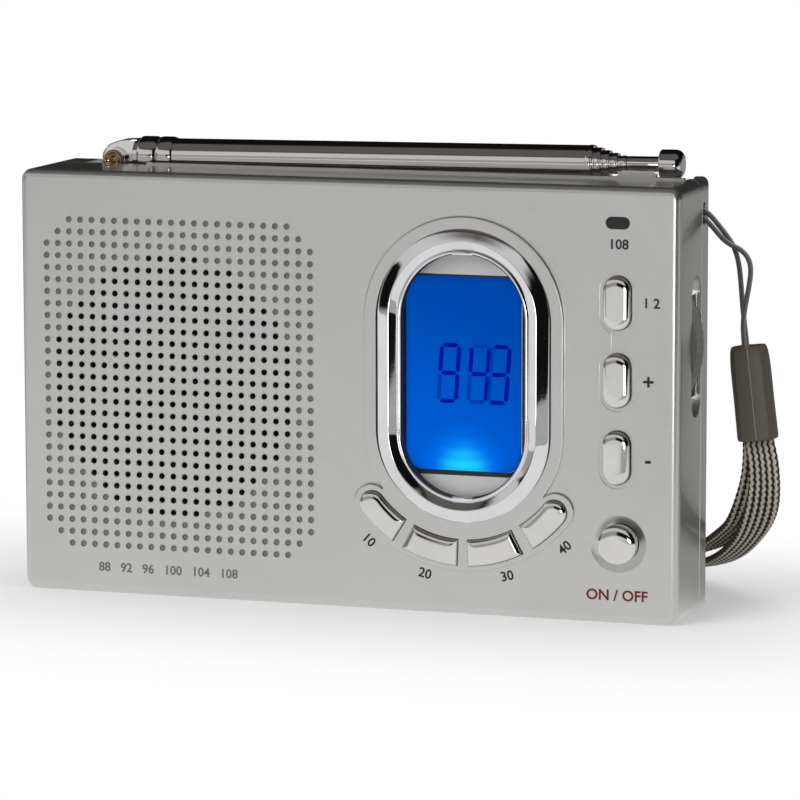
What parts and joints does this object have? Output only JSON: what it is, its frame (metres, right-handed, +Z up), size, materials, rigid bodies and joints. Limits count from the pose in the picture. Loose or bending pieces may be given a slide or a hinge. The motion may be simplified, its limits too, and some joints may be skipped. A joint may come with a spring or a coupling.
{
  "type": "portable radio",
  "caption": "Slim upright pocket radio with a drilled grille, oval chrome-ringed display, curved and upright keys, thumb wheel, battery door, folding telescopic aerial and wrist strap.",
  "frame": {"origin": "on the surface that the radio stands on, under the middle of its case", "axes": "+X to the right as the user faces the front, +Y from the front to the back, +Z up"},
  "size_m": [0.1494, 0.0614, 0.0901],
  "materials": {
    "case_silver": "satin silver paint",
    "chrome": "polished",
    "clear_window": "clear polished",
    "mask_silver": "satin",
    "display_glass": "blue back-lit liquid crystal",
    "diffuser": "matt white",
    "key_silver": "smooth silver",
    "smoke_lens": "smoked, polished",
    "lamp_red": "translucent",
    "speaker_steel": "matt black",
    "paper_black": "matt fibre",
    "magnet_black": "ground",
    "circuit_board": "green resist",
    "black_plastic": "fine matt",
    "ferrite": "sintered",
    "copper": "enamelled wire",
    "cell_jacket": "printed sleeve",
    "zinc_steel": "plated",
    "brass": "turned",
    "cord_taupe": "braided",
    "bead_taupe": "fine matt"
  },
  "bodies": {
    "case": {"front_shell": "case_silver", "rear_shell": "case_silver", "display_ring": "chrome", "display_window": "clear_window", "display_mask": "mask_silver", "lcd_panel": "display_glass", "backlight": "diffuser", "tuning_lens": "smoke_lens", "tuning_lamp": "lamp_red", "speaker_basket": "speaker_steel", "speaker_cone": "paper_black", "speaker_magnet": "magnet_black", "speaker_screws": "zinc_steel", "main_board": "circuit_board", "key_switches": "black_plastic", "board_parts": "black_plastic", "board_screws": "zinc_steel", "ferrite_rod": "ferrite", "ferrite_coil": "copper", "ferrite_clips": "black_plastic", "volume_control": "zinc_steel", "phone_socket": "black_plastic", "power_socket": "black_plastic", "socket_board": "circuit_board", "battery_cell_lower": "cell_jacket", "battery_cell_upper": "cell_jacket", "battery_contacts": "zinc_steel", "battery_springs": "zinc_steel", "case_screws": "zinc_steel", "strap_pin": "zinc_steel", "strap_cord": "cord_taupe", "strap_bead": "bead_taupe", "wrist_band": "cord_taupe"},
    "memory_button": {"memory_button": "key_silver"},
    "channel_up_button": {"channel_up_button": "key_silver"},
    "channel_down_button": {"channel_down_button": "key_silver"},
    "lock_button": {"lock_button": "key_silver"},
    "band_button": {"band_button": "key_silver"},
    "tune_up_button": {"tune_up_button": "key_silver"},
    "tune_down_button": {"tune_down_button": "key_silver"},
    "power_button": {"power_button": "key_silver"},
    "volume_wheel": {"volume_wheel": "case_silver"},
    "battery_door": {"battery_door": "case_silver"},
    "aerial_base": {"aerial_yoke": "chrome", "aerial_clip": "zinc_steel", "aerial_rivet": "brass"},
    "aerial_outer": {"aerial_knuckle": "chrome", "aerial_tube_1": "chrome"},
    "aerial_stage_2": {"aerial_tube_2": "chrome"},
    "aerial_stage_3": {"aerial_tube_3": "chrome"},
    "aerial_stage_4": {"aerial_tube_4": "chrome"},
    "aerial_stage_5": {"aerial_tube_5": "chrome"},
    "aerial_tip": {"aerial_rod": "chrome", "aerial_knob": "chrome"}
  },
  "joints": [
    {"name": "memory_press", "type": "slide", "parent": "case", "child": "memory_button", "axis": [0, 1, 0], "range_m": [0, 0.0005], "stiffness_N_per_m": 400, "springref_m": -0.0005},
    {"name": "channel_up_press", "type": "slide", "parent": "case", "child": "channel_up_button", "axis": [0, 1, 0], "range_m": [0, 0.0005], "stiffness_N_per_m": 400, "springref_m": -0.0005},
    {"name": "channel_down_press", "type": "slide", "parent": "case", "child": "channel_down_button", "axis": [0, 1, 0], "range_m": [0, 0.0005], "stiffness_N_per_m": 400, "springref_m": -0.0005},
    {"name": "lock_press", "type": "slide", "parent": "case", "child": "lock_button", "axis": [0, 1, 0], "range_m": [0, 0.0005], "stiffness_N_per_m": 400, "springref_m": -0.0005},
    {"name": "band_press", "type": "slide", "parent": "case", "child": "band_button", "axis": [0, 1, 0], "range_m": [0, 0.0005], "stiffness_N_per_m": 400, "springref_m": -0.0005},
    {"name": "tune_up_press", "type": "slide", "parent": "case", "child": "tune_up_button", "axis": [0, 1, 0], "range_m": [0, 0.0005], "stiffness_N_per_m": 400, "springref_m": -0.0005},
    {"name": "tune_down_press", "type": "slide", "parent": "case", "child": "tune_down_button", "axis": [0, 1, 0], "range_m": [0, 0.0005], "stiffness_N_per_m": 400, "springref_m": -0.0005},
    {"name": "power_press", "type": "slide", "parent": "case", "child": "power_button", "axis": [0, 1, 0], "range_m": [0, 0.0005], "stiffness_N_per_m": 400, "springref_m": -0.0005},
    {"name": "volume_turn", "type": "hinge", "parent": "case", "child": "volume_wheel", "pos_m": [0.0503, 0.00035, 0.0526], "axis": [0, 1, 0], "range_deg": [0, 280]},
    {"name": "battery_door_open", "type": "hinge", "parent": "case", "child": "battery_door", "pos_m": [0.031, 0.0129, 0.0316], "axis": [1, 0, 0], "range_deg": [0, 95]},
    {"name": "aerial_swivel", "type": "hinge", "parent": "case", "child": "aerial_base", "pos_m": [-0.0545, 0.0086, 0.0849], "axis": [0, 0, 1], "range_deg": [0, 100]},
    {"name": "aerial_fold", "type": "hinge", "parent": "aerial_base", "child": "aerial_outer", "pos_m": [-0.0545, 0.0086, 0.0849], "axis": [0, -1, 0], "range_deg": [0, 120]},
    {"name": "aerial_extend_1", "type": "slide", "parent": "aerial_outer", "child": "aerial_stage_2", "axis": [0.9999, 0, 0.0105], "range_m": [0, 0.08]},
    {"name": "aerial_extend_2", "type": "slide", "parent": "aerial_stage_2", "child": "aerial_stage_3", "axis": [0.9999, 0, 0.0105], "range_m": [0, 0.08]},
    {"name": "aerial_extend_3", "type": "slide", "parent": "aerial_stage_3", "child": "aerial_stage_4", "axis": [0.9999, 0, 0.0105], "range_m": [0, 0.08]},
    {"name": "aerial_extend_4", "type": "slide", "parent": "aerial_stage_4", "child": "aerial_stage_5", "axis": [0.9999, 0, 0.0105], "range_m": [0, 0.08]},
    {"name": "aerial_extend_5", "type": "slide", "parent": "aerial_stage_5", "child": "aerial_tip", "axis": [0.9999, 0, 0.0105], "range_m": [0, 0.08]}
  ]
}
